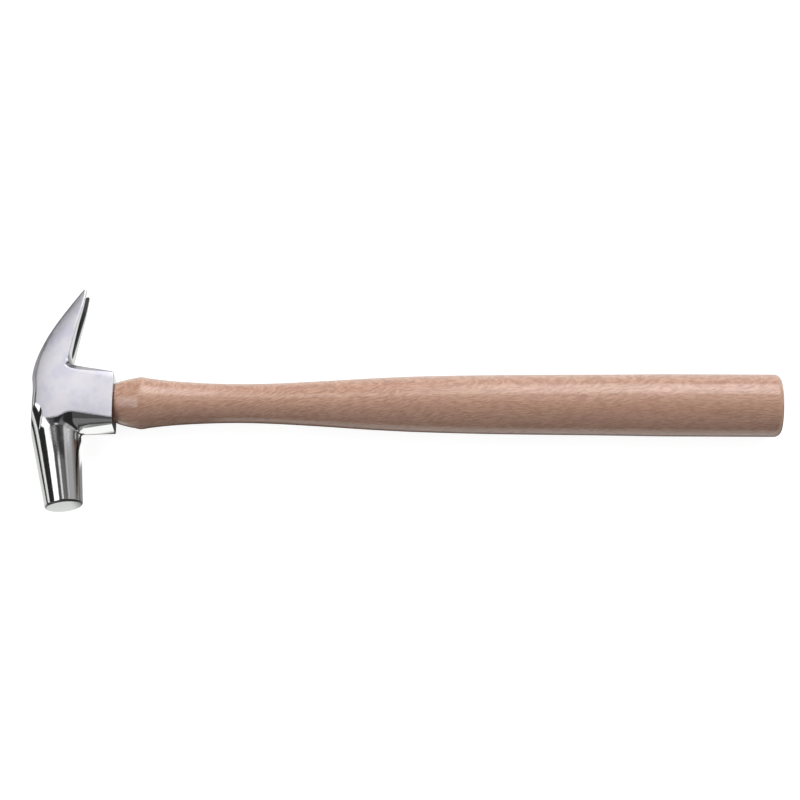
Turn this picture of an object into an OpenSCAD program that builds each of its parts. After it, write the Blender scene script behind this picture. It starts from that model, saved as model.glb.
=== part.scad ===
// Farrier's driving hammer: a forged steel head, hung on a turned beech handle.
// A tapered, leaning poll drives the nails, and a two-tined claw above it wrings them off.
//
// The hammer lies on its side. X runs along the handle to the butt, Y points out of the claw and
// Z out of the cheek. The origin is the centre of the cylindrical grip, on the handle's axis.
// Modules inside at_head() work in head coordinates, where x = 0 is the front of the head.
// All sizes are in millimetres.

/* [Hammer] */
// Length from the front of the head to the end of the butt
overall_length = 328; // [300:1:360]
// Length of the cylindrical stretch of the grip
grip_length = 48; // [30:1:60]
// Radius of the cylindrical grip
grip_r = 13.7; // [13.2:0.1:14.4]
// Distance from the end of the grip's cylinder to the end of the butt
butt_cap = 4; // [3.5:0.1:5]

/* [Head body] */
// Length of the head along the handle, from its front to the end of the boss
head_length = 35.5; // [34:0.1:38]
// Thickness of the head across its cheeks
cheek_width = 21.6; // [20.6:0.1:22]
// Thickness of the boss at its handle end
boss_width = 20; // [19:0.1:20.6]
// Height of the top of the boss above the handle's axis, at its end
boss_top = 11.6; // [10.6:0.1:12.4]
// Depth of the underside of the boss below the handle's axis, at its end
boss_bottom = 12; // [11:0.1:12.6]
// Radius of the front corners of the body
front_corner_r = 3; // [2:0.1:4]

/* [Claw] */
// Height of the tips of the claw above the handle's axis
claw_height = 51.2; // [49:0.1:54]
// Width across both tines at the root
claw_root_width = 18.4; // [17:0.1:20]
// Width across both tines near the tips
claw_tip_width = 15.2; // [14:0.1:16.4]
// Width of the nail slot near its root
slot_root_width = 5; // [4:0.1:5.6]
// Width of the nail slot at the tips
slot_tip_width = 8.6; // [7:0.1:9.4]
// Height above the handle's axis at which the slot starts, on the side of the handle
slot_root_height = 21.6; // [20:0.1:27]
// Radius of the corner where the claw meets the boss
crotch_r = 2.6; // [1.5:0.1:4]

/* [Poll] */
// Angle by which the poll leans towards the handle
poll_lean = 8.2; // [0:0.1:10]
// Length of the poll from the handle's axis to the middle of the striking face
poll_length = 48.2; // [45:0.1:51]
// Radius of the poll's cone at its striking end
poll_end_r = 8.3; // [7.5:0.1:9]
// Radius of the flat part of the striking face
face_r = 5.5; // [5:0.1:7]
// Growth of the poll's radius for each millimetre up from the face
poll_taper = 0.085; // [0.06:0.005:0.1]
// Distance below the handle's axis at which the poll starts to flare into the body
flare_start = 13.2; // [8:0.1:16]
// Steepness of that flare: its radius grows with the square of the distance by this much
flare_gain = 0.013; // [0.005:0.001:0.02]

/* [Eye and wedges] */
// Half-thickness of the oval eye at the end of the boss
eye_r_back = 6.2; // [5.8:0.1:6.5]
// Half-thickness of the oval eye at the front of the head
eye_r_front = 7; // [6.6:0.1:7.4]
// Distance from the middle of the eye to the centre of each of its round ends
eye_offset = 2.2; // [1:0.1:2.6]
// Distance of the trimmed end of the handle behind the front of the head
eye_recess = 0.3; // [0:0.1:1]
// Depth of the saw cut in the tenon
kerf_depth = 26; // [22:1:28]
// Width of the saw cut
kerf_width = 0.8; // [0.6:0.1:1.2]
// Depth of the wooden wedge
wood_wedge_depth = 21; // [16:1:22]
// Thickness of the wooden wedge at the front
wood_wedge_thickness = 2.6; // [2:0.1:3.2]
// Depth of each steel wedge
steel_wedge_depth = 12; // [10:0.5:14]
// Thickness of each steel wedge at the front
steel_wedge_thickness = 1.9; // [1.6:0.1:2.2]
// Width of each steel wedge
steel_wedge_width = 9; // [7:0.5:10]
// Distance of each steel wedge from the handle's axis
steel_wedge_offset = 4.2; // [4:0.1:4.8]

/* [Hidden] */
$fn = 96;

steel = [0.72, 0.72, 0.74];
beech = [0.85, 0.66, 0.54];
pale_wood = [0.87, 0.74, 0.6];
wedge_steel = [0.42, 0.43, 0.45];

// Small overlap that keeps cuts and joins from ending on a shared face
skin = 0.5;
front_x = grip_length / 2 + butt_cap - overall_length;
shoulder_x = head_length + 0.3;
wood_front_x = eye_recess;

// Points along a circle's arc, and along a Bezier curve
function arc(centre, r, from, to, steps) =
    [for (i = [0:steps]) let(a = from + (to - from) * i / steps) centre + r * [cos(a), sin(a)]];
function bezier(p, steps) =
    [for (i = [0:steps]) let(t = i / steps, u = 1 - t)
        u * u * u * p[0] + 3 * u * u * t * p[1] + 3 * u * t * t * p[2] + t * t * t * p[3]];

// Smooth curve through stations [distance, radius], as a Catmull-Rom spline
function spline_point(p, i, t) =
    let(last = len(p) - 1, a = p[max(i - 1, 0)], b = p[i], c = p[i + 1], d = p[min(i + 2, last)])
    0.5 * (2 * b + (c - a) * t + (2 * a - 5 * b + 4 * c - d) * t * t
        + (3 * b - a - 3 * c + d) * t * t * t);
function spline(p, steps) =
    [for (i = [0:len(p) - 2], k = [0:steps - 1]) spline_point(p, i, k / steps), p[len(p) - 1]];

module at_head() {
    translate([front_x, 0, 0]) children();
}

// Extrudes a shape drawn in [z, y] along X, from x0 to x1
module along_x(x0, x1) {
    translate([x1, 0, 0]) rotate([0, -90, 0]) linear_extrude(x1 - x0) children();
}

// Extrudes a shape drawn in [x, z] along Y, from y0 to y1
module along_y(y0, y1) {
    translate([0, y1, 0]) rotate([90, 0, 0]) linear_extrude(y1 - y0) children();
}

// Turns a profile drawn in [radius, distance along X] about the X axis
module turned() {
    rotate([0, 90, 0]) rotate_extrude() children();
}

// ---- Head ----

claw_tip_r = 0.8;
claw_inner_slope = 0.2;
boss_top_slope = 0.184;
boss_bottom_slope = 0.096;
boss_edge = 0.6;
// The front leans out this much towards the claw, and the boss's underside runs in to poll_side_x
body_front = -0.4;
poll_side_x = 14;
// The tip's centre, and where the claw's inner line and the boss's top line would meet
claw_tip = [21.05, claw_height - claw_tip_r];
crotch = [14.7, boss_top + (head_length - 14.7) * boss_top_slope];

// Side view of the claw, body and boss
module head_side() {
    inner_angle = atan(claw_inner_slope);
    top_angle = atan(boss_top_slope);
    // The crotch's arc touches both lines, so its centre lies on the bisector of their normals
    bisector = (90 - top_angle - inner_angle) / 2;
    reach = crotch_r / cos((90 - top_angle + inner_angle) / 2);
    tip_angle = 144;
    claw_back = [
        [body_front, 9], [body_front, 22], [9.8, 36.2],
        claw_tip + claw_tip_r * [cos(tip_angle), sin(tip_angle)]
    ];
    polygon(concat(
        [[0, 0]],
        bezier(claw_back, 16),
        arc(claw_tip, claw_tip_r, tip_angle - 15, -inner_angle, 5),
        arc(crotch + reach * [cos(bisector), sin(bisector)], crotch_r,
            180 - inner_angle, 270 - top_angle, 8),
        [[head_length - boss_edge, boss_top], [head_length, boss_top - boss_edge]],
        [[head_length, boss_edge - boss_bottom], [head_length - boss_edge, -boss_bottom]],
        [[poll_side_x, -boss_bottom - (head_length - poll_side_x) * boss_bottom_slope]],
        [[poll_side_x, 0]]
    ));
}

// Front view in [z, y]: cheeks, tapering claw, and the bevelled underside of the boss
module head_front() {
    right = [
        [6.5, -15.2],
        [cheek_width / 2, -8.6],
        [cheek_width / 2, 8],
        [claw_root_width / 2, 20],
        [claw_root_width / 2, 29],
        [claw_tip_width / 2, claw_height - 5],
        [claw_tip_width / 2 - 1.4, claw_height - 1.3],
        [claw_tip_width / 2 - 2.6, claw_height + skin]
    ];
    polygon(concat(right, [for (i = [len(right) - 1:-1:0]) [-right[i].x, right[i].y]]));
}

// Plan in [x, z]: round front corners, and cheeks that close in a little towards the handle
module head_plan() {
    c = cheek_width / 2 - front_corner_r;
    polygon(concat(
        arc([front_corner_r + body_front, c], front_corner_r, 180, 90, 8),
        [[poll_side_x, cheek_width / 2], [head_length, boss_width / 2]],
        [[head_length, -boss_width / 2], [poll_side_x, -cheek_width / 2]],
        arc([front_corner_r + body_front, -c], front_corner_r, 270, 180, 8)
    ));
}

// The poll's axis meets the handle's axis this far behind the front
poll_base_x = 8.4;

// The poll as turned: flat face, bevelled rim, cone and flare, drawn as [radius, height]
module poll_turning() {
    rim = 1.4;
    top = 3;
    steps = 8;
    flare = [for (i = [0:steps])
        let(rise = (flare_start + top) * i / steps, height = rise - flare_start)
        [poll_end_r + (height + poll_length - rim) * poll_taper + flare_gain * rise * rise, height]];
    rotate_extrude() polygon(concat(
        [[0, -poll_length], [face_r, -poll_length]],
        [[poll_end_r - rim / 2, rim / 3 - poll_length], [poll_end_r, rim - poll_length]],
        flare,
        [[0, top]]
    ));
}

// The poll is turned and leans towards the handle; the cheeks and the front cut its flare flat
module poll() {
    intersection() {
        translate([poll_base_x, 0, 0]) rotate([0, 0, poll_lean]) rotate([-90, 0, 0]) poll_turning();
        along_y(-poll_length - 5, 2) head_plan();
    }
}

function eye_r(x) = eye_r_front + (eye_r_back - eye_r_front) * x / head_length;

// The oval eye between two distances from the front of the head, wider at the front
module eye_form(x0, x1) {
    for (side = [-1, 1])
        translate([x0, side * eye_offset, 0]) rotate([0, 90, 0])
            cylinder(h = x1 - x0, r1 = eye_r(x0), r2 = eye_r(x1));
    along_y(-eye_offset, eye_offset)
        polygon([[x0, eye_r(x0)], [x1, eye_r(x1)], [x1, -eye_r(x1)], [x0, -eye_r(x0)]]);
}

// V-shaped nail slot, cut square to the claw
module claw_slot() {
    tilt = 19.6;
    root = [15.3, slot_root_height + slot_root_width / 2];
    reach = 34;
    translate([root.x, root.y, 0]) rotate([0, 0, -tilt]) along_x(-24, 12) union() {
        circle(d = slot_root_width);
        polygon([
            [-slot_root_width / 2, 0], [-slot_tip_width / 2, reach],
            [slot_tip_width / 2, reach], [slot_root_width / 2, 0]
        ]);
    }
}

module head() {
    color(steel) at_head() difference() {
        union() {
            intersection() {
                translate([0, 0, -cheek_width / 2]) linear_extrude(cheek_width) head_side();
                along_x(-1, head_length + 1) head_front();
                along_y(-20, claw_height + 1) head_plan();
            }
            poll();
        }
        eye_form(-skin, head_length + skin);
        claw_slot();
    }
}

// ---- Handle ----

// Stations of the turned profile: [distance from the front of the head, radius]
handle_stations = [
    [shoulder_x, 8.5], [37, 9.2], [38.9, 9.75], [41.5, 10.45], [44.2, 10.95], [47.3, 11.3],
    [52, 10.75], [58.4, 10], [66, 9.4], [78, 8.8], [91, 8.57], [104.5, 8.87], [118, 9.52],
    [131, 10.28], [144, 11.1], [157, 11.78], [171, 12.33], [197, 12.92], [223, 13.2],
    [249, 13.38]
];

module handle_profile() {
    end_x = overall_length;
    edge_r = 3.3;
    grip_start = end_x - butt_cap - grip_length;
    stations = concat(handle_stations, [[grip_start, grip_r]]);
    outline = spline(stations, 3);
    butt = arc([end_x - butt_cap, grip_r - edge_r], edge_r, 90, 12, 6);
    polygon(concat(
        [[0, shoulder_x]],
        [for (p = outline) [p[1], p[0]]],
        [for (p = butt) [p[1], p[0]]],
        [[0, end_x]]
    ));
}

// Space taken by the wooden wedge: it runs the length of the eye's oval
module wood_wedge_space() {
    tip = 0.35;
    along_y(-12, 12) polygon([
        [wood_front_x - skin, wood_wedge_thickness / 2],
        [wood_front_x + wood_wedge_depth, tip / 2],
        [wood_front_x + wood_wedge_depth, -tip / 2],
        [wood_front_x - skin, -wood_wedge_thickness / 2]
    ]);
}

// One barbed steel wedge, driven across the wooden one
module steel_wedge(side) {
    step = steel_wedge_depth / 4;
    half = steel_wedge_thickness / 2;
    taper = 0.22;
    barb = 0.25;
    // Half-thickness along each quarter of the depth, so that the next quarter stands out as a barb
    edge = [for (i = [0:3]) let(h = half * (1 - taper * i))
        each [[i * step, h], [(i + 1) * step, h - barb]]];
    at_head() translate([wood_front_x, side * steel_wedge_offset, -steel_wedge_width / 2])
        linear_extrude(steel_wedge_width)
            polygon(concat(edge, [for (i = [len(edge) - 1:-1:0]) [edge[i][0], -edge[i][1]]]));
}

module steel_wedges() {
    for (side = [-1, 1]) steel_wedge(side);
}

module handle() {
    color(beech) difference() {
        at_head() difference() {
            union() {
                turned() handle_profile();
                eye_form(wood_front_x, shoulder_x + skin);
            }
            wood_wedge_space();
            translate([wood_front_x - skin, -12, -kerf_width / 2])
                cube([kerf_depth + skin, 24, kerf_width]);
        }
        steel_wedges();
    }
}

// ---- Wedges ----

module wood_wedge() {
    color(pale_wood) difference() {
        at_head() intersection() {
            wood_wedge_space();
            eye_form(wood_front_x, shoulder_x);
        }
        steel_wedges();
    }
}

module steel_wedge_claw_side() {
    color(wedge_steel) steel_wedge(1);
}

module steel_wedge_face_side() {
    color(wedge_steel) steel_wedge(-1);
}

head();
handle();
wood_wedge();
steel_wedge_claw_side();
steel_wedge_face_side();
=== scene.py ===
"""Farrier's driving hammer: the looks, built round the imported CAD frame.

The head is worked out as a distance field in head coordinates (millimetres, x = 0 at the front of
the head, y up the claw, z out of the cheek) and meshed here. The handle is turned from the profile
of its CAD node. Everything ends up in the row frame, in metres.
"""
import math

import bpy
import numpy as np
from mathutils import Matrix, Vector


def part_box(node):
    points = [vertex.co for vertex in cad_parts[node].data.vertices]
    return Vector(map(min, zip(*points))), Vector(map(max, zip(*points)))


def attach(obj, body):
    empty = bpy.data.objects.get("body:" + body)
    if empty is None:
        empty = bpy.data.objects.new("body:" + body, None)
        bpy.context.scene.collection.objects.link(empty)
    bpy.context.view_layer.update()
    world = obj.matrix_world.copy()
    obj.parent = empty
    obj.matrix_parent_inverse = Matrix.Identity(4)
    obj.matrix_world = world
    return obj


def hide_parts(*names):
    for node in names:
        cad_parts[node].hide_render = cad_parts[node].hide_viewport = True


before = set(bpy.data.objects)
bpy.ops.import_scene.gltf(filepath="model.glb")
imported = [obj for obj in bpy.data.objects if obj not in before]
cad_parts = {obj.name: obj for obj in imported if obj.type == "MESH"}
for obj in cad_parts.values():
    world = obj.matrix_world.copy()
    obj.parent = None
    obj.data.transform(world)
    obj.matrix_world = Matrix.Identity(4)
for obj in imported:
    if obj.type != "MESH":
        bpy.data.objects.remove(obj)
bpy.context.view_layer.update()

MM = 0.001
head_lo, head_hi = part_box("head")
handle_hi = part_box("handle")[1]

# The CAD's front plane leans out this much ahead of x = 0 in head coordinates
FRONT_LEAN = -0.4
FRONT_X = head_lo.x / MM - FRONT_LEAN
HEAD_LENGTH = head_hi.x / MM - FRONT_X
CLAW_HEIGHT = head_hi.y / MM
CHEEK = head_hi.z / MM
OVERALL = handle_hi.x / MM - FRONT_X
GRIP_R = handle_hi.z / MM


# ---- Distance fields, all in millimetres ----

def round_max(a, b, r):
    """Intersection of two fields whose edge is rounded with radius r."""
    u = np.maximum(a + r, 0)
    v = np.maximum(b + r, 0)
    return np.minimum(np.maximum(a, b), -r) + np.hypot(u, v)


def round_min(a, b, r):
    """Union of two fields whose corner is filled with radius r."""
    u = np.maximum(r - a, 0)
    v = np.maximum(r - b, 0)
    return np.maximum(np.minimum(a, b), r) - np.hypot(u, v)


def smooth(a, b, x):
    t = np.clip((x - a) / (b - a), 0, 1)
    return t * t * (3 - 2 * t)


def bezier(p, n):
    t = np.linspace(0, 1, n)[:, None]
    u = 1 - t
    p = np.array(p, float)
    return u ** 3 * p[0] + 3 * u * u * t * p[1] + 3 * u * t * t * p[2] + t ** 3 * p[3]


CLAW_BACK = [(-0.35, 8.8), (-0.41, 20.9), (9.95, 36.15), (20.35, 50.85)]
# Front of the body below the claw, from the top down: x against y
BODY_FRONT = [(-0.3, -60), (-0.15, -13), (0.0, -9), (0.2, -5.5), (0.1, -1), (0.25, 2), (0.1, 5.6),
              (-0.35, 8.8)]
INNER_X, INNER_Y, INNER_SLOPE = 15.76, 19.9, 0.2
BOSS_TOP, BOSS_TOP_SLOPE = 11.65, 0.184
BOSS_BOTTOM, BOSS_BOTTOM_SLOPE = 12.0, 0.096
CROTCH_R = 2.6
CROTCH = (14.9, 15.4)
POLL_BASE_X = 8.4
POLL_LEAN = math.radians(8.2)
POLL_LENGTH = 48.2
POLL_END_R, POLL_END_S = 8.35, 46.8
POLL_TAPER = 0.078
POLL_FLATTEN = 0.1
# Twice the radius of the striking face's crown, and the rounding of its rim
FACE_CROWN = 180
FACE_EDGE = 1.0
# Rounding of the boss's lower corners: at its end, growth towards the poll, and how far it grows
BOSS_CORNER, BOSS_CORNER_GAIN, BOSS_CORNER_REACH = 3.7, 0.28, 17
# Where the boss's underside starts behind the front, and the fillet between it and the poll
BOSS_START, POLL_BOSS_R = 6, 2.2
# The poll and the underside stand this far proud of the cheek before they are cut back to it
UNDERSIDE_PROUD, POLL_CHEEK_R = 0.2, 1.2
# Height at which the poll and the underside stop cutting the body
CORE_TOP = 2
# The cheek's roll towards the front: its reach, and its rate
ROLL_REACH, ROLL_RATE = 11, 0.00075
# The cheek's roll towards the top of the boss: its reach, and its rate
RIM_ROLL_REACH, RIM_ROLL_RATE = 3.5, 0.035
# Swelling of the claw's inner edge: its size, its height up the claw, and its half-width
SWELL, SWELL_Y, SWELL_WIDTH = 0.3, 43, 6
FLARE_START, FLARE_GAIN = 14.0, 0.013
EYE_FRONT_R, EYE_BACK_R, EYE_OFFSET = 7.0, 6.2, 2.2
SLOT_ROOT = (15.33, 24.1)
SLOT_TILT = math.radians(19.6)
# Rounding of the cheek's edges: along the front low down and on the claw, the inner rim, tip and end
FRONT_CORNER, CLAW_CORNER = 2.6, 1.4
RIM_CORNER, TIP_CORNER, END_CORNER = 0.3, 2.2, 0.5
BEVEL_ANGLE = math.radians(33)
BEVEL_CROTCH, BEVEL_END, BEVEL_CLAW = 2.3, 0.6, 0.35


def front_table():
    """x of the front edge and its slope as functions of y, eased over about 3 mm."""
    curve = bezier(CLAW_BACK, 400)
    y = np.arange(-60, 60, 0.1)
    x = np.interp(y, curve[:, 1], curve[:, 0])
    above = y > curve[-1, 1]
    tip = curve[-1] - curve[-20]
    x[above] = curve[-1, 0] + (y[above] - curve[-1, 1]) * tip[0] / tip[1]
    below = y < CLAW_BACK[0][1]
    front = np.array(BODY_FRONT)
    x[below] = np.interp(y[below], front[:, 1], front[:, 0])
    window = np.hanning(33)
    window /= window.sum()
    padded = np.pad(x, 16, mode="reflect", reflect_type="odd")
    x = np.convolve(padded, window, mode="valid")
    return y, x, np.gradient(x, y)


FRONT_Y, FRONT_EDGE, FRONT_SLOPE = front_table()


def front_field(x, y):
    edge = np.interp(y, FRONT_Y, FRONT_EDGE)
    slope = np.interp(y, FRONT_Y, FRONT_SLOPE)
    return (edge - x) / np.sqrt(1 + slope * slope)


def half_thickness(x, y):
    """Half the head's thickness at a point of its side view."""
    body = np.minimum(10.0 + (HEAD_LENGTH - x) * 0.04, CHEEK)
    claw = np.interp(y, [19, 25, 29, 35, 42, 46, 52], [9.4, 9.3, 9.15, 8.8, 8.3, 7.95, 7.6])
    t = smooth(-6, 27, y)
    return body * (1 - t) + claw * t


def eye_field(x, y, z):
    r = EYE_FRONT_R + (EYE_BACK_R - EYE_FRONT_R) * x / HEAD_LENGTH
    return np.hypot(z, np.maximum(np.abs(y) - EYE_OFFSET, 0)) - r


def slot_field(x, y, z):
    up = (x - SLOT_ROOT[0]) * math.sin(SLOT_TILT) + (y - SLOT_ROOT[1]) * math.cos(SLOT_TILT)
    half = 2.3 + 2.0 * (1 - np.exp(-np.maximum(up, 0) / 9))
    return np.where(up > 0, np.abs(z) - half, np.hypot(z, up) - 2.3)


def poll_coordinates(x, y, z):
    """Distance down the poll's axis, distance from it along the handle, and distance from it."""
    s = (x - POLL_BASE_X) * math.sin(POLL_LEAN) - y * math.cos(POLL_LEAN)
    t = (x - POLL_BASE_X) * math.cos(POLL_LEAN) + y * math.sin(POLL_LEAN)
    return s, t, np.hypot(t, z)


def head_field(x, y, z, parts=False):
    front = front_field(x, y)
    w = half_thickness(x, y)
    inner = (x - INNER_X - INNER_SLOPE * (y - INNER_Y)) / math.hypot(1, INNER_SLOPE)
    inner = inner - SWELL * np.exp(-((y - SWELL_Y) / SWELL_WIDTH) ** 2)
    top = (y - BOSS_TOP - BOSS_TOP_SLOPE * (HEAD_LENGTH - x)) / math.hypot(1, BOSS_TOP_SLOPE)
    rim = round_min(inner, top, CROTCH_R)
    # The cheek rolls over towards the front, and a little towards the top of the boss
    roll = ROLL_RATE * np.maximum(0, ROLL_REACH + front) ** 3
    near_boss = smooth(24, 15, y) * smooth(15, 19, x)
    roll = roll + RIM_ROLL_RATE * np.maximum(0, RIM_ROLL_REACH + rim) ** 2 * near_boss
    cheek = np.abs(z) - w + roll
    end = x - HEAD_LENGTH
    tip = y - CLAW_HEIGHT + 0.16 * np.maximum(np.abs(z) - 4.4, 0)
    bottom = -BOSS_BOTTOM - BOSS_BOTTOM_SLOPE * (HEAD_LENGTH - x) - y

    # Poll: a leaning cone, a little flattened near the body, that flares into it
    s, t, _ = poll_coordinates(x, y, z)
    flare = np.maximum(0, FLARE_START - s)
    r = POLL_END_R + POLL_TAPER * (POLL_END_S - s) + FLARE_GAIN * flare ** 2
    rho = np.hypot(t, z * (1 + POLL_FLATTEN * smooth(30, 6, s)))
    cone = (rho - r) / np.sqrt(1 + (POLL_TAPER + 2 * FLARE_GAIN * flare) ** 2)
    face = s - POLL_LENGTH + rho ** 2 / FACE_CROWN
    cone = round_max(round_max(cone, face, FACE_EDGE), cheek - UNDERSIDE_PROUD, POLL_CHEEK_R)

    # Underside of the boss, whose corners widen towards the poll
    d = np.clip(HEAD_LENGTH - x, 0, BOSS_CORNER_REACH)
    corner = BOSS_CORNER + BOSS_CORNER_GAIN * d
    boss = np.maximum(round_max(bottom, cheek - UNDERSIDE_PROUD, corner), BOSS_START - x)
    core = np.minimum(round_min(cone, boss, POLL_BOSS_R), CORE_TOP - y)

    # Bevel of the inner edge: widest in the crotch, narrow at the end of the boss and on the claw
    along = smooth(0, 17, x - 18.5)
    on_top = smooth(-0.8, 1.2, inner - top)
    width = BEVEL_CLAW + on_top * (BEVEL_CROTCH + (BEVEL_END - BEVEL_CROTCH) * along - BEVEL_CLAW)
    bevel = (rim + width) * math.sin(BEVEL_ANGLE) + cheek * math.cos(BEVEL_ANGLE)

    # Side view of the head, then its edges with the cheek, each with a radius of its own
    outline = round_max(front, rim, 0.45)
    outline = round_max(outline, tip, 0.55)
    outline = round_max(outline, end, 0.5)
    up = smooth(12, 34, y)
    front_corner = FRONT_CORNER * (1 - up) + CLAW_CORNER * up
    fields = np.stack([front, rim, tip, end])
    radii = np.stack([front_corner, RIM_CORNER + 0 * y, TIP_CORNER + 0 * y, END_CORNER + 0 * y])
    share = np.exp(np.maximum(fields - fields.max(0), -30) / 0.7)
    share /= share.sum(0)
    body = round_max(outline, cheek, (share * radii).sum(0))
    body = round_max(body, bevel, 0.15)
    body = round_max(body, core, 0.08)
    body = round_max(body, -eye_field(x, y, z), 0.4)
    body = round_max(body, -slot_field(x, y, z), 0.4)
    if parts:
        return body, cheek, front, core
    return body


# ---- Meshing ----

FULL_STEP, QUICK_STEP = 0.28, 0.5


def surface_net(field, lo, step):
    """Vertices and quads of the zero surface of a sampled field."""
    inside = field < 0
    n = np.array(field.shape) - 1
    corners = [(i, j, k) for i in (0, 1) for j in (0, 1) for k in (0, 1)]

    def part(a, c):
        return a[c[0]:c[0] + n[0], c[1]:c[1] + n[1], c[2]:c[2] + n[2]]

    count = sum(part(inside, c).astype(np.int8) for c in corners)
    active = (count > 0) & (count < 8)
    cells = np.argwhere(active)
    index = np.full(n, -1, np.int64)
    index[active] = np.arange(len(cells))
    total = np.zeros((len(cells), 3))
    hits = np.zeros(len(cells))
    for a in corners:
        for axis in range(3):
            if a[axis]:
                continue
            b = list(a)
            b[axis] = 1
            fa = part(field, a)[active]
            fb = part(field, b)[active]
            cut = (fa < 0) != (fb < 0)
            t = fa[cut] / (fa[cut] - fb[cut])
            point = np.tile(np.array(a, float), (cut.sum(), 1))
            point[:, axis] = t
            total[cut] += point
            hits[cut] += 1
    vertices = (cells + total / hits[:, None]) * step + lo
    quads = []
    for axis in range(3):
        u, v = (axis + 1) % 3, (axis + 2) % 3
        first = [slice(1, -1)] * 3
        first[axis] = slice(0, -1)
        second = [slice(1, -1)] * 3
        second[axis] = slice(1, None)
        a, b = inside[tuple(first)], inside[tuple(second)]
        cut = np.argwhere(a != b)
        flip = b[tuple(cut.T)]
        base = cut + 1
        base[:, axis] = cut[:, axis]
        ring = []
        for du, dv in ((-1, -1), (0, -1), (0, 0), (-1, 0)):
            cell = base.copy()
            cell[:, u] += du
            cell[:, v] += dv
            ring.append(index[tuple(cell.T)])
        ring = np.stack(ring, 1)
        ring[flip] = ring[flip][:, ::-1]
        quads.append(ring)
    return vertices, np.concatenate(quads)


def gradient(field, p, h=0.02):
    g = np.empty_like(p)
    for axis in range(3):
        e = np.zeros(3)
        e[axis] = h
        g[:, axis] = (field(*(p + e).T) - field(*(p - e).T)) / (2 * h)
    return g


def settle(field, p, rounds=4):
    """Moves points onto the zero surface along its gradient, and returns them with normals."""
    for _ in range(rounds):
        g = gradient(field, p)
        p = p - field(*p.T)[:, None] * g / np.maximum((g * g).sum(1), 0.25)[:, None]
    g = gradient(field, p)
    return p, g / np.linalg.norm(g, axis=1)[:, None]


def add_object(name, vertices, faces, smooth_faces=True):
    """An object in the row frame from points in head coordinates."""
    mesh = bpy.data.meshes.new(name)
    points = (np.asarray(vertices) + (FRONT_X, 0, 0)) * MM
    mesh.from_pydata(points.tolist(), [], [tuple(f) for f in faces])
    mesh.update()
    if smooth_faces:
        mesh.polygons.foreach_set("use_smooth", [True] * len(mesh.polygons))
    obj = bpy.data.objects.new(name, mesh)
    bpy.context.scene.collection.objects.link(obj)
    return obj


def build_head():
    step = FULL_STEP
    lo = np.array([-1.5, -50, -11.6])
    hi = np.array([37.0, 53.8, 11.6])
    shape = np.ceil((hi - lo) / step).astype(int) + 1
    axes = [lo[i] + step * np.arange(shape[i]) for i in range(3)]
    axes[2] = axes[2] - axes[2].mean()
    lo[2] = axes[2][0]
    grid = np.meshgrid(*axes, indexing="ij")
    field = head_field(*grid)
    vertices, quads = surface_net(field, lo, step)
    vertices, normals = settle(head_field, vertices)
    obj = add_object("hammer_head", vertices, quads.tolist())
    obj.data.normals_split_custom_set_from_vertices(normals.tolist())
    _, cheek, front, core = head_field(*vertices.T, parts=True)
    # Ground cheeks and front are satin; the poll, the underside and the inner edges are polished
    deeper = 1.4 * smooth(23, 18, vertices[:, 1])
    upper = smooth(-0.45 - deeper, -0.15 - deeper, cheek)
    lower = smooth(-0.2, -0.04, cheek)
    satin = lower + (upper - lower) * smooth(0, 4, vertices[:, 1])
    satin = np.maximum(satin, smooth(-0.9, -0.3, front) * smooth(0, -0.35, core))
    layer = obj.data.attributes.new("satin", "FLOAT", "POINT")
    layer.data.foreach_set("value", satin.astype(np.float32))
    # The slot's near-black colour is partly unground steel and partly painted shade of its narrow
    # recess; the eye's bore is dark bare steel
    slot = smooth(1.2, 0.5, slot_field(*vertices.T)) * (vertices[:, 1] > 18)
    scale_and_shade = np.maximum(slot, smooth(0.6, 0.3, eye_field(*vertices.T)))
    # Painted shade in the crotch, and a painted dark outline on the turned rim of the striking face
    corner = np.hypot(vertices[:, 0] - CROTCH[0], vertices[:, 1] - CROTCH[1])
    scale_and_shade = np.maximum(scale_and_shade, 0.75 * smooth(5.5, 3.2, corner) * smooth(-0.05, -0.3, cheek))
    s, _, rho = poll_coordinates(*vertices.T)
    rim = smooth(POLL_LENGTH - 1.3, POLL_LENGTH - 0.8, s)
    rim = rim * smooth(POLL_END_R - 1.1, POLL_END_R - 0.5, rho)
    scale_and_shade = np.maximum(scale_and_shade, 0.7 * rim)
    layer = obj.data.attributes.new("scale_and_shade", "FLOAT", "POINT")
    layer.data.foreach_set("value", scale_and_shade.astype(np.float32))
    return obj


# ---- Handle ----

# The turned ridge on the bulge: its distance behind the front of the head, height and half-width
RIDGE_X, RIDGE_HEIGHT, RIDGE_WIDTH = 47.3, 0.22, 3.0
# Rounding of the butt's edge, and how far the dome rises past it
BUTT_EDGE, BUTT_DOME = 3.2, 0.35


def handle_profile():
    """Stations [distance from the front of the head, radius] from the CAD node's own points."""
    co = np.array([v.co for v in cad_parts["handle"].data.vertices]) / MM
    x = co[:, 0] - FRONT_X
    r = np.hypot(co[:, 1], co[:, 2])
    shoulder = x[x > HEAD_LENGTH + 0.05].min()
    outer = {}
    for xi, ri in zip(np.round(x, 3), r):
        if xi >= shoulder - 0.01:
            outer[xi] = max(outer.get(xi, 0), ri)
    stations = np.array(sorted((k, v) for k, v in outer.items() if v > 1))
    return shoulder, stations


def stadium(r, offset, angles):
    """Outline of the eye: two arcs joined by flats, as points (y, z) at the given angles."""
    y = r * np.sin(angles)
    z = r * np.cos(angles)
    return y + np.sign(y) * offset * smooth(0, 0.3, np.abs(np.sin(angles))), z


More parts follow.
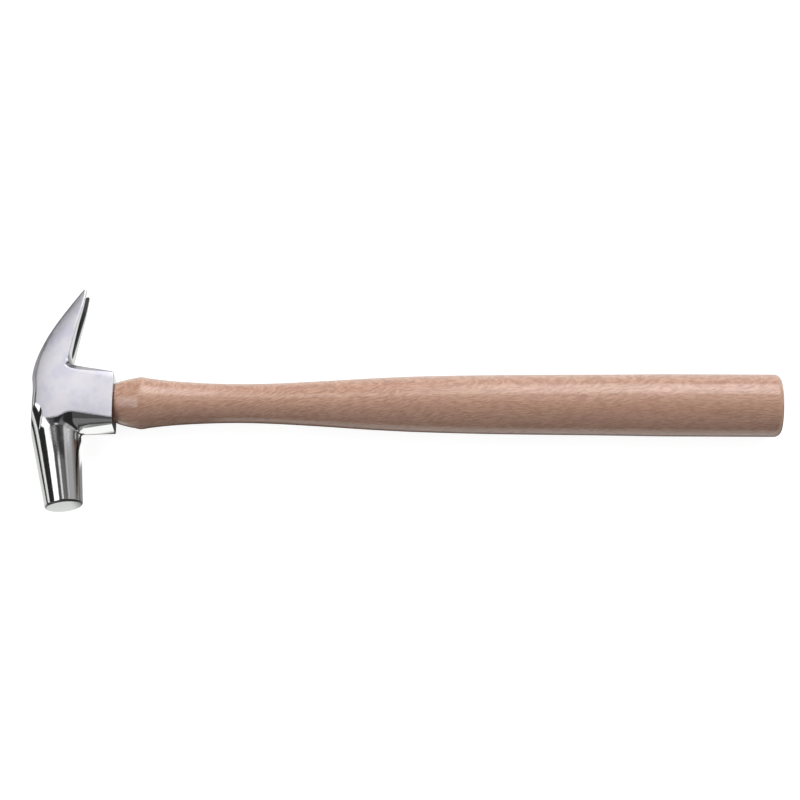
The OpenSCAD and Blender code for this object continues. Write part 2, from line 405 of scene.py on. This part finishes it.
def build_handle():
    segments = 128
    angles = np.linspace(0, 2 * math.pi, segments, endpoint=False)
    shoulder, stations = handle_profile()
    end = stations[-1, 0]
    cap = OVERALL - 4.0
    xs = np.concatenate([
        shoulder + np.array([0.0, 0.15, 0.4, 0.8]),
        np.arange(shoulder + 1.4, cap, 1.0),
    ])
    fine = np.arange(shoulder, cap + 0.05, 0.1)
    raw = np.interp(fine, stations[:, 0], stations[:, 1])
    window = np.hanning(27)
    window /= window.sum()
    eased = np.convolve(np.pad(raw, 13, mode="reflect", reflect_type="odd"), window, mode="valid")
    # The bulge keeps a faint turned ridge
    eased += RIDGE_HEIGHT * np.maximum(0, 1 - np.abs(fine - RIDGE_X) / RIDGE_WIDTH)
    radii = np.interp(xs, fine, eased)
    radii[0] -= 0.25
    radii[1] -= 0.08
    # Butt: a turned edge, then a shallow dome
    a = np.radians(np.linspace(90, 14, 14))
    edge_x = OVERALL - BUTT_DOME - BUTT_EDGE + BUTT_EDGE * np.cos(a)
    edge_y = GRIP_R - BUTT_EDGE + BUTT_EDGE * np.sin(a)
    dome_r = np.linspace(edge_y[-1], 0.4, 12)[1:]
    dome_x = edge_x[-1] + (OVERALL - edge_x[-1]) * (1 - (dome_r / edge_y[-1]) ** 2)
    rings = []
    tenon = np.linspace(0.3, shoulder, 9)
    for t in (0.15, 0.4, 0.65, 0.85):
        rings.append((tenon[0], *[c * t for c in tenon_ring(tenon[0], angles)]))
    for x in tenon:
        rings.append((x, *tenon_ring(x, angles)))
    for x, r in zip(xs, radii):
        rings.append((x, r * np.sin(angles), r * np.cos(angles)))
    for x, r in zip(edge_x, edge_y):
        rings.append((x, r * np.sin(angles), r * np.cos(angles)))
    for x, r in zip(dome_x, dome_r):
        rings.append((x, r * np.sin(angles), r * np.cos(angles)))
    vertices = [(rings[0][0], 0, 0)]
    for x, y, z in rings:
        vertices += list(zip([x] * segments, y, z))
    vertices.append((OVERALL, 0, 0))
    faces = []
    for i in range(segments):
        j = (i + 1) % segments
        faces.append((0, 1 + i, 1 + j))
        last = 1 + (len(rings) - 1) * segments
        faces.append((len(vertices) - 1, last + j, last + i))
        for k in range(len(rings) - 1):
            a0 = 1 + k * segments
            b0 = a0 + segments
            faces.append((a0 + i, b0 + i, b0 + j, a0 + j))
    obj = add_object("turned_handle", vertices, faces)
    cut_wedges(obj)
    return obj


def tenon_ring(x, angles):
    r = EYE_FRONT_R + (EYE_BACK_R - EYE_FRONT_R) * x / HEAD_LENGTH - 0.03
    return stadium(r, EYE_OFFSET, angles)


def box_mesh(name, lo, hi):
    corners = [(x, y, z) for x in (lo[0], hi[0]) for y in (lo[1], hi[1]) for z in (lo[2], hi[2])]
    faces = [(0, 1, 3, 2), (4, 6, 7, 5), (0, 4, 5, 1), (2, 3, 7, 6), (0, 2, 6, 4), (1, 5, 7, 3)]
    return add_object(name, corners, faces, smooth_faces=False)


def cut_wedges(obj):
    kerf = box_mesh("kerf", (-0.5, -12, -0.4), (26.3, 12, 0.4))
    cutters = [kerf] + [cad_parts[n] for n in
                        ("wood_wedge", "steel_wedge_claw_side", "steel_wedge_face_side")]
    for cutter in cutters:
        modifier = obj.modifiers.new("cut", "BOOLEAN")
        modifier.operation = "DIFFERENCE"
        modifier.solver = "EXACT"
        modifier.object = cutter
    bpy.context.view_layer.update()
    graph = bpy.context.evaluated_depsgraph_get()
    mesh = bpy.data.meshes.new_from_object(obj.evaluated_get(graph))
    obj.modifiers.clear()
    obj.data = mesh
    bpy.data.objects.remove(kerf)
    mesh.polygons.foreach_set("use_smooth", [True] * len(mesh.polygons))
    mesh.set_sharp_from_angle(angle=math.radians(38))


# ---- Materials ----

class Graph:
    """Small helper that builds a material's node tree."""

    def __init__(self, material):
        material.use_nodes = True
        self.tree = material.node_tree
        self.tree.nodes.clear()

    def node(self, kind, inputs=None, **settings):
        node = self.tree.nodes.new(kind)
        for key, value in settings.items():
            setattr(node, key, value)
        for key, value in (inputs or {}).items():
            if isinstance(value, bpy.types.NodeSocket):
                self.tree.links.new(value, node.inputs[key])
            else:
                node.inputs[key].default_value = value
        return node

    def math(self, operation, a, b=0.0):
        node = self.node("ShaderNodeMath", {0: a, 1: b}, operation=operation)
        return node.outputs[0]

    def ramp(self, value, lo, hi, out_lo=0.0, out_hi=1.0, kind="SMOOTHSTEP"):
        node = self.node("ShaderNodeMapRange", {
            "Value": value, "From Min": lo, "From Max": hi, "To Min": out_lo, "To Max": out_hi,
        }, interpolation_type=kind)
        return node.outputs["Result"]

    def mix(self, factor, a, b, blend="MIX"):
        node = self.node("ShaderNodeMix", data_type="RGBA", blend_type=blend)
        for socket, value in ((node.inputs[0], factor), (node.inputs[6], a), (node.inputs[7], b)):
            if isinstance(value, bpy.types.NodeSocket):
                self.tree.links.new(value, socket)
            elif isinstance(value, tuple):
                socket.default_value = (*value, 1.0)
            else:
                socket.default_value = value
        return node.outputs[2]

    def place(self, scale, offset=(0, 0, 0)):
        """Row-frame position in millimetres, scaled per axis."""
        coordinates = self.node("ShaderNodeTexCoord").outputs["Object"]
        node = self.node("ShaderNodeMapping", {
            "Vector": coordinates,
            "Scale": [s / MM for s in scale],
            "Location": offset,
        })
        return node.outputs[0]

    def noise(self, vector, detail=2.0, roughness=0.5):
        node = self.node("ShaderNodeTexNoise", {
            "Vector": vector, "Scale": 1.0, "Detail": detail, "Roughness": roughness,
        })
        return node.outputs["Fac"]

    def bump(self, height, strength, distance):
        inputs = {"Height": height, "Strength": strength, "Distance": distance}
        return self.node("ShaderNodeBump", inputs).outputs[0]

    def finish(self, shader):
        self.node("ShaderNodeOutputMaterial", {"Surface": shader})


def steel_material():
    material = bpy.data.materials.new("forged_steel")
    g = Graph(material)
    satin = g.node("ShaderNodeAttribute", attribute_name="satin").outputs["Fac"]
    blotch = g.noise(g.place((0.11, 0.09, 0.11)), detail=3.0, roughness=0.6)
    grind = g.noise(g.place((0.35, 2.6, 0.35)), detail=3.0, roughness=0.65)
    grain = g.noise(g.place((3.0, 3.0, 3.0)), detail=2.0)
    satin_colour = g.mix(g.ramp(blotch, 0.35, 0.65), (0.60, 0.59, 0.66), (0.72, 0.71, 0.74))
    # Near-black bare steel in the eye and the slot, with painted shade in the slot, the crotch and
    # on the face's rim
    scale_and_shade = g.node("ShaderNodeAttribute", attribute_name="scale_and_shade").outputs["Fac"]
    colour = g.mix(satin, (0.62, 0.62, 0.62), satin_colour)
    colour = g.mix(scale_and_shade, colour, (0.075, 0.08, 0.08))
    rough_satin = g.ramp(blotch, 0.3, 0.7, 0.38, 0.45)
    rough_polish = g.ramp(grain, 0.3, 0.7, 0.07, 0.12)
    rough = g.mix(scale_and_shade, g.mix(satin, rough_polish, rough_satin), (0.45, 0.45, 0.45))
    height = g.math("ADD", g.math("MULTIPLY", grind, 0.6), g.math("MULTIPLY", grain, 0.4))
    normal = g.bump(height, 0.10, 0.0002)
    shader = g.node("ShaderNodeBsdfPrincipled", {
        "Base Color": colour, "Metallic": 1.0, "Roughness": rough, "Normal": normal,
    })
    g.finish(shader.outputs[0])
    return material


# Direction in the cross-section along which the growth rings are stacked, as an angle from +Z
RING_ANGLE = math.radians(42)
RING_SPACING = 1.0
# Growth of the ring depth for each millimetre towards the head: at the grip, and its own growth
RING_SLOPE, RING_CURVE = 0.05, 0.00045


def beech_colour(g):
    """Growth rings, figure, flecks and slow variation; returns colour and height for the bump."""
    split = g.node("ShaderNodeSeparateXYZ", {0: g.place((1, 1, 1))})
    x, y, z = split.outputs
    slow = g.noise(g.place((0.035, 0.07, 0.07)), detail=1.5)
    middle = g.noise(g.place((0.12, 0.3, 0.3)), detail=2.0)
    fine = g.noise(g.place((0.45, 0.7, 0.7)), detail=2.0)
    depth = g.math("ADD", g.math("MULTIPLY", y, math.sin(RING_ANGLE)),
                   g.math("MULTIPLY", z, math.cos(RING_ANGLE)))
    across = g.math("SUBTRACT", g.math("MULTIPLY", y, math.cos(RING_ANGLE)),
                    g.math("MULTIPLY", z, math.sin(RING_ANGLE)))
    growth = g.math("SUBTRACT", RING_SLOPE, g.math("MULTIPLY", x, RING_CURVE))
    run_out = g.math("MULTIPLY", x, growth)
    depth = g.math("SUBTRACT", depth, run_out)
    for layer, size in ((slow, 7.0), (middle, 1.3), (fine, 0.4)):
        depth = g.math("ADD", depth, g.math("MULTIPLY", layer, size))
    phase = g.math("FRACT", g.math("DIVIDE", depth, RING_SPACING))
    late = g.math("MULTIPLY", g.ramp(phase, 0.25, 0.7), g.ramp(phase, 1.0, 0.8))
    # Figure: streaks that follow the rings and break up along them
    along = g.node("ShaderNodeCombineXYZ", {
        0: g.math("MULTIPLY", x, 0.3), 1: g.math("MULTIPLY", depth, 2.8),
        2: g.math("MULTIPLY", across, 0.35)}).outputs[0]
    streak = g.noise(along, detail=1.0, roughness=0.5)
    patch = g.noise(g.place((0.03, 0.12, 0.12), (3, 7, 1)), detail=2.0)
    strength = g.ramp(g.noise(g.place((0.07, 0.12, 0.12), (9, 2, 4))), 0.3, 0.7, 0.35, 1.0)
    base = g.mix(g.ramp(patch, 0.3, 0.7), (0.66, 0.37, 0.275), (0.65, 0.395, 0.27))
    streaked = g.mix(g.ramp(streak, 0.38, 0.62), (0.90, 0.56, 0.40), (0.57, 0.29, 0.205))
    wood = g.mix(0.55, base, streaked)
    wood = g.mix(g.math("MULTIPLY", late, g.math("MULTIPLY", strength, 0.3)),
                 wood, (0.46, 0.23, 0.155))
    fleck = g.ramp(g.noise(g.place((0.35, 3.2, 3.2)), detail=1.0), 0.60, 0.70)
    wood = g.mix(g.math("MULTIPLY", fleck, 0.3), wood, (0.36, 0.17, 0.11))
    pore = g.noise(g.place((0.8, 7.0, 7.0)), detail=2.0)
    wood = g.mix(g.ramp(pore, 0.42, 0.7, 0.0, 0.3), wood, (0.82, 0.55, 0.42))
    height = g.math("ADD", g.math("MULTIPLY", streak, -0.5), g.math("MULTIPLY", pore, 0.5))
    return wood, height


def beech_material():
    material = bpy.data.materials.new("steamed_beech")
    g = Graph(material)
    colour, height = beech_colour(g)
    normal = g.bump(height, 0.25, 0.0002)
    wave = g.noise(g.place((0.25, 0.9, 0.9)), detail=3.0)
    coat_normal = g.bump(g.math("ADD", wave, height), 0.12, 0.0003)
    rough = g.ramp(wave, 0.3, 0.7, 0.46, 0.56)
    shader = g.node("ShaderNodeBsdfPrincipled", {
        "Base Color": colour, "Roughness": rough, "Normal": normal, "IOR": 1.45,
        "Coat Weight": 1.0, "Coat Roughness": 0.15, "Coat IOR": 1.55,
        "Specular IOR Level": 0.25, "Coat Normal": coat_normal,
    })
    g.finish(shader.outputs[0])
    return material


def end_grain_material():
    material = bpy.data.materials.new("wedge_end_grain")
    g = Graph(material)
    band = g.noise(g.place((0.2, 1.6, 6.0)), detail=3.0)
    speck = g.noise(g.place((2.0, 6.0, 6.0)), detail=1.0)
    colour = g.mix(g.ramp(band, 0.3, 0.7), (0.50, 0.31, 0.17), (0.66, 0.46, 0.28))
    colour = g.mix(g.ramp(speck, 0.55, 0.7, 0.0, 0.5), colour, (0.28, 0.16, 0.09))
    rough = g.ramp(speck, 0.3, 0.7, 0.6, 0.8)
    shader = g.node("ShaderNodeBsdfPrincipled", {
        "Base Color": colour, "Roughness": rough, "Normal": g.bump(band, 0.3, 0.0002),
    })
    g.finish(shader.outputs[0])
    return material


def wedge_steel_material():
    material = bpy.data.materials.new("scaled_wedge_steel")
    g = Graph(material)
    scale = g.noise(g.place((0.8, 0.8, 0.8)), detail=4.0, roughness=0.65)
    colour = g.mix(g.ramp(scale, 0.35, 0.65), (0.10, 0.095, 0.09), (0.32, 0.31, 0.30))
    rough = g.ramp(scale, 0.35, 0.65, 0.6, 0.35)
    shader = g.node("ShaderNodeBsdfPrincipled", {
        "Base Color": colour, "Metallic": 1.0, "Roughness": rough,
        "Normal": g.bump(scale, 0.25, 0.0002),
    })
    g.finish(shader.outputs[0])
    return material


def assign(obj, material):
    obj.data.materials.clear()
    obj.data.materials.append(material)


head = build_head()
assign(head, steel_material())
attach(head, "root")
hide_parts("head")

handle = build_handle()
assign(handle, beech_material())
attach(handle, "root")
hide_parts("handle")

assign(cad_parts["wood_wedge"], end_grain_material())
wedge_steel = wedge_steel_material()
for name in ("steel_wedge_claw_side", "steel_wedge_face_side"):
    assign(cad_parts[name], wedge_steel)


# ---- Camera, floor and light ----

# Camera direction, distance and frame, as read from the photograph's perspective
CAMERA_TILT = math.radians(18.5)
CAMERA_ROLL = math.radians(0.23)
CAMERA_DISTANCE = 1.2
FRAME_WIDTH = 0.35104
SENSOR = 36.0
TARGET = Vector(((FRONT_X + 160.6) * MM, 1.93 * MM, 0.0))


def add_camera():
    data = bpy.data.cameras.new("camera")
    data.sensor_width = SENSOR
    data.lens = SENSOR * CAMERA_DISTANCE / FRAME_WIDTH
    data.clip_start, data.clip_end = 0.01, 20
    obj = bpy.data.objects.new("camera", data)
    bpy.context.scene.collection.objects.link(obj)
    back = Vector((0, -math.sin(CAMERA_TILT), math.cos(CAMERA_TILT)))
    side = Vector((1, 0, 0))
    up = Vector((0, math.cos(CAMERA_TILT), math.sin(CAMERA_TILT)))
    right = side * math.cos(CAMERA_ROLL) + up * math.sin(CAMERA_ROLL)
    above = up * math.cos(CAMERA_ROLL) - side * math.sin(CAMERA_ROLL)
    turn = Matrix((right, above, back)).transposed().to_4x4()
    turn.translation = TARGET + back * CAMERA_DISTANCE
    obj.matrix_world = turn
    bpy.context.scene.camera = obj


def add_floor():
    """A pale plane just under the butt and the cheek: plain and bright to the camera, with painted
    light and shade where the steel mirrors it.
    """
    cheek_x = head_lo.x + 0.25 * (head_hi.x - head_lo.x)
    grip_x = handle_hi.x - 0.02
    slope = (GRIP_R - CHEEK) * MM / (grip_x - cheek_x)
    size = 3.0
    rows = []
    for x in (-size, size):
        for y in (-size, size):
            z = -CHEEK * MM - slope * (x - cheek_x) - 0.0001
            rows.append((x, y, z))
    mesh = bpy.data.meshes.new("floor")
    mesh.from_pydata(rows, [], [(0, 2, 3, 1)])
    obj = bpy.data.objects.new("floor", mesh)
    bpy.context.scene.collection.objects.link(obj)
    material = bpy.data.materials.new("pale_floor")
    g = Graph(material)
    speck = g.noise(g.place((0.02, 0.02, 0.02)), detail=3.0)
    colour = g.mix(speck, (0.34, 0.34, 0.34), (0.38, 0.38, 0.38))
    diffuse = g.node("ShaderNodeBsdfDiffuse", {"Color": colour})
    glow = g.node("ShaderNodeEmission", {"Color": (1, 1, 1, 1), "Strength": 0.9})
    seen = g.node("ShaderNodeAddShader", {0: diffuse.outputs[0], 1: glow.outputs[0]})
    # Mirrored in the steel, the floor glows with painted light and shade: it fades out ahead of the
    # head and far below the hammer, is painted brighter just below the poll, and carries painted
    # shade beside the poll, along the handle and under it, with a painted contact shadow under the
    # hammer
    split = g.node("ShaderNodeSeparateXYZ", {0: g.place((1, 1, 1))})
    x, y, _ = split.outputs
    lean_in = g.math("MULTIPLY", g.math("MAXIMUM", g.math("SUBTRACT", y, 20.0), 0.0), 0.7)
    away = g.math("SUBTRACT", g.math("ADD", lean_in, FRONT_X), x)
    painted_floor_light = g.ramp(band(g, away, 30, 100, 5), 0, 1, 0.95, 0.03, kind="LINEAR")
    near = g.math("MULTIPLY", band(g, away, -38, -14, 2), band(g, y, -23, -14.4, 1))
    painted_floor_light = g.math("MULTIPLY", painted_floor_light, g.ramp(near, 0, 1, 1.0, 1.5, kind="LINEAR"))
    beside = g.math("MULTIPLY", band(g, away, -38, -21, 3), g.ramp(y, -22, -26))
    painted_floor_light = g.math("MULTIPLY", painted_floor_light, g.ramp(beside, 0, 1, 1.0, 0.4, kind="LINEAR"))
    further = g.math("MULTIPLY", band(g, away, -80, -38, 4), g.ramp(y, -10, -20))
    painted_floor_light = g.math("MULTIPLY", painted_floor_light, g.ramp(further, 0, 1, 1.0, 0.25, kind="LINEAR"))
    # Painted contact shadow under the head and the handle
    painted_contact_shadow = g.math("MULTIPLY", band(g, y, -14.4, 12, 0.8), g.ramp(away, -12, -16))
    painted_floor_light = g.math("MULTIPLY", painted_floor_light, g.ramp(painted_contact_shadow, 0, 1, 1.0, 0.06, kind="LINEAR"))
    along = g.math("MULTIPLY", band(g, y, -18, 14, 2), g.ramp(away, -40, -48))
    painted_floor_light = g.math("MULTIPLY", painted_floor_light, g.ramp(along, 0, 1, 1.0, 0.25, kind="LINEAR"))
    far = g.math("MULTIPLY", g.ramp(y, -36, -48), g.ramp(away, -60, -75))
    far = g.math("MAXIMUM", far, g.ramp(y, -57, -66))
    painted_floor_light = g.math("MULTIPLY", painted_floor_light, g.ramp(far, 0, 1, 1.0, 0.15, kind="LINEAR"))
    # The floor's painted light and shade glow for glossy rays only
    shine = g.node("ShaderNodeEmission", {"Color": (0.98, 1.0, 0.97, 1), "Strength": painted_floor_light})
    path = g.node("ShaderNodeLightPath")
    mixed = g.node("ShaderNodeMixShader", {
        0: path.outputs["Is Glossy Ray"], 1: diffuse.outputs[0], 2: shine.outputs[0]})
    mixed = g.node("ShaderNodeMixShader", {
        0: path.outputs["Is Camera Ray"], 1: mixed.outputs[0], 2: seen.outputs[0]})
    g.finish(mixed.outputs[0])
    assign(obj, material)


def band(g, value, lo, hi, soft):
    """1 between lo and hi, with soft edges."""
    return g.math("MULTIPLY", g.ramp(value, lo - soft, lo + soft),
                  g.ramp(value, hi + soft, hi - soft))


# What the steel mirrors: degrees round from the zenith towards +X, degrees up from the XZ plane
# towards +Y, softness of those edges in degrees, and brightness
STUDIO = [
    ((-2, 66), (26, 66), (5, 5), 3.6),
    ((-22, -2), (19, 31), (5, 4), 2.2),
    ((-47, -19), (-30, 14), (2, 2), 2.3),
    ((-1, 9), (4, 13), (2.5, 4), 1.25),
    ((-18, -3), (-46, 14), (2, 4), 0.08),
    ((12, 36), (-14, 14), (2, 2), 0.2),
    ((35, 46), (-14, 30), (2.5, 2.5), 0.6),
    ((46, 78), (-14, 30), (5, 5), 0.5),
    ((78, 102), (-14, 30), (5, 5), 0.3),
    ((-93, -82), (-60, 30), (2, 2), 1.3),
    ((70, 130), (30, 66), (6, 6), 0.5),
    ((-130, -18), (30, 66), (6, 6), 0.10),
    ((-180, 180), (72, 96), (5, 5), 0.40),
    ((-180, 180), (-96, -50), (5, 5), 0.22),
]
STUDIO_BASE = 0.03


def add_world():
    """Studio surroundings: softboxes and dark gaps for the steel to mirror, plain to the camera."""
    world = bpy.data.worlds.new("studio")
    bpy.context.scene.world = world
    g = Graph(world)
    direction = g.node("ShaderNodeTexCoord").outputs["Generated"]
    split = g.node("ShaderNodeSeparateXYZ", {0: direction})
    x, y, z = split.outputs
    around = g.math("DEGREES", g.math("ARCTAN2", x, z))
    lean = g.math("DEGREES", g.math("ARCSINE", y))
    level = STUDIO_BASE
    for sides, heights, soft, brightness in STUDIO:
        soft_sides, soft_heights = soft
        box = g.math("MULTIPLY", band(g, around, *sides, soft_sides),
                     band(g, lean, *heights, soft_heights))
        level = g.math("ADD", level, g.math("MULTIPLY", box, brightness))
    studio = g.node("ShaderNodeBackground", {"Color": (0.99, 0.985, 1.0, 1), "Strength": level})
    plain = g.node("ShaderNodeBackground", {"Color": (1, 1, 1, 1), "Strength": 0.95})
    seen = g.node("ShaderNodeLightPath").outputs["Is Camera Ray"]
    mixed = g.node("ShaderNodeMixShader", {0: seen, 1: studio.outputs[0], 2: plain.outputs[0]})
    g.node("ShaderNodeOutputWorld", {"Surface": mixed.outputs[0]})


add_camera()
add_floor()
add_world()
bpy.context.scene.view_settings.view_transform = "Standard"
